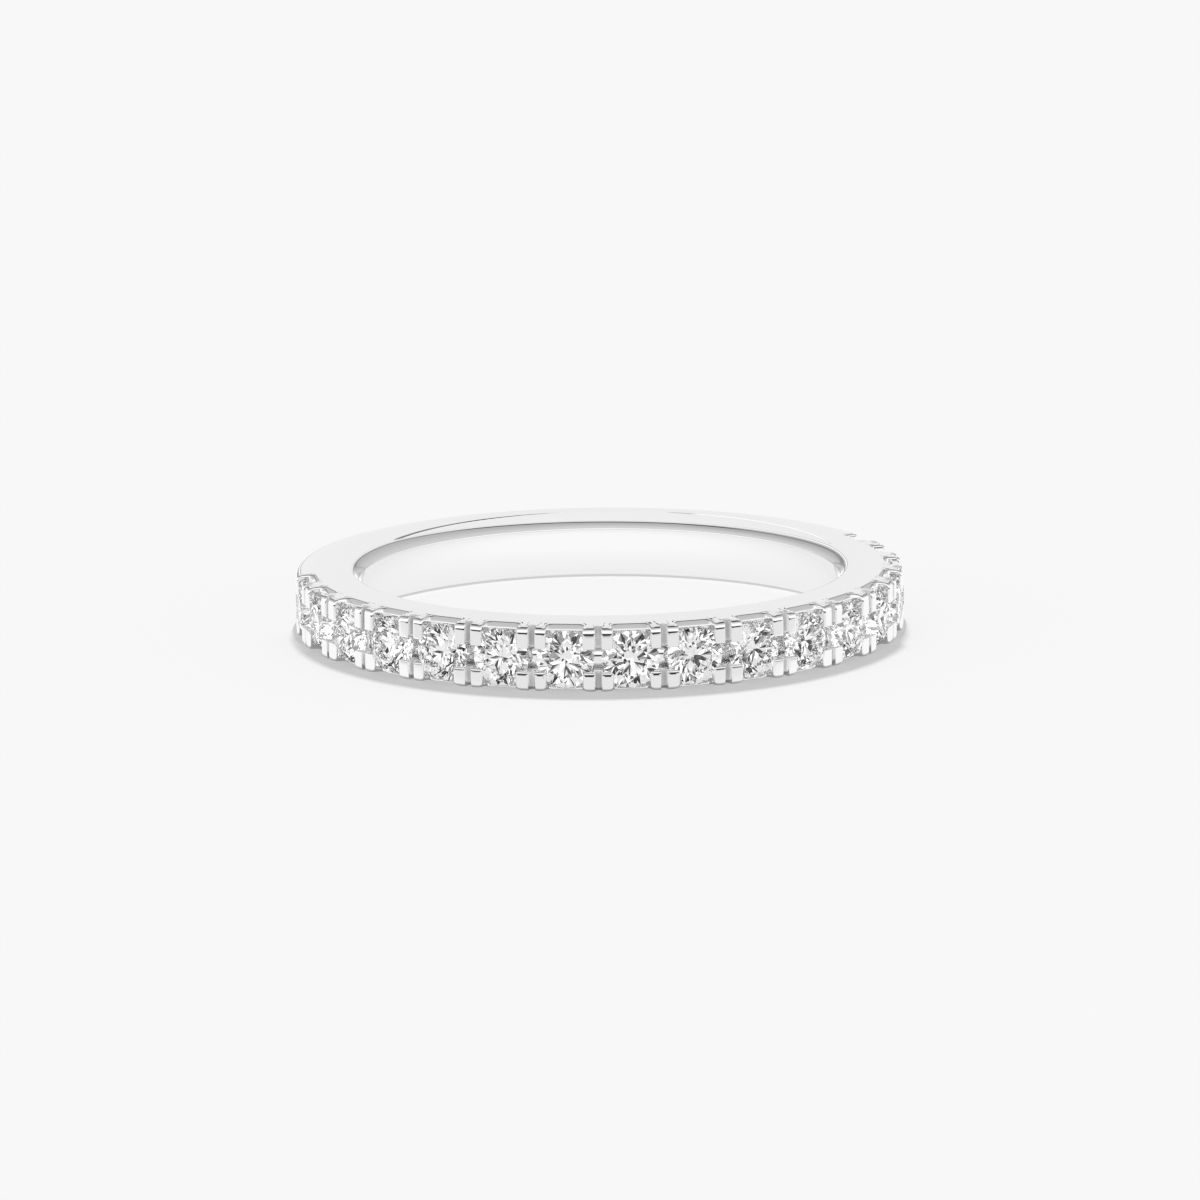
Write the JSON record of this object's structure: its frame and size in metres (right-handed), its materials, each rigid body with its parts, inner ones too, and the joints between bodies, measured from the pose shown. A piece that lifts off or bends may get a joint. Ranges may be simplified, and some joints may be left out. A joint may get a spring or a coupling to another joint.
{
  "type": "wedding ring",
  "caption": "Flat-sided white-metal finger ring with a shared-prong row of round brilliants along its front and a plain shank.",
  "frame": {"origin": "centre of the finger hole, halfway across the band", "axes": "+Z along the finger hole; the ring lies with its lower side face down; the row of stones is centred on -Y"},
  "size_m": [0.022, 0.022, 0.0022],
  "materials": {
    "white_metal": "polished",
    "moissanite": "polished facets"
  },
  "bodies": {
    "root": {"band": "white_metal", "stone_01": "moissanite", "stone_02": "moissanite", "stone_03": "moissanite", "stone_04": "moissanite", "stone_05": "moissanite", "stone_06": "moissanite", "stone_07": "moissanite", "stone_08": "moissanite", "stone_09": "moissanite", "stone_10": "moissanite", "stone_11": "moissanite", "stone_12": "moissanite", "stone_13": "moissanite", "stone_14": "moissanite", "stone_15": "moissanite", "stone_16": "moissanite", "stone_17": "moissanite"}
  },
  "joints": []
}
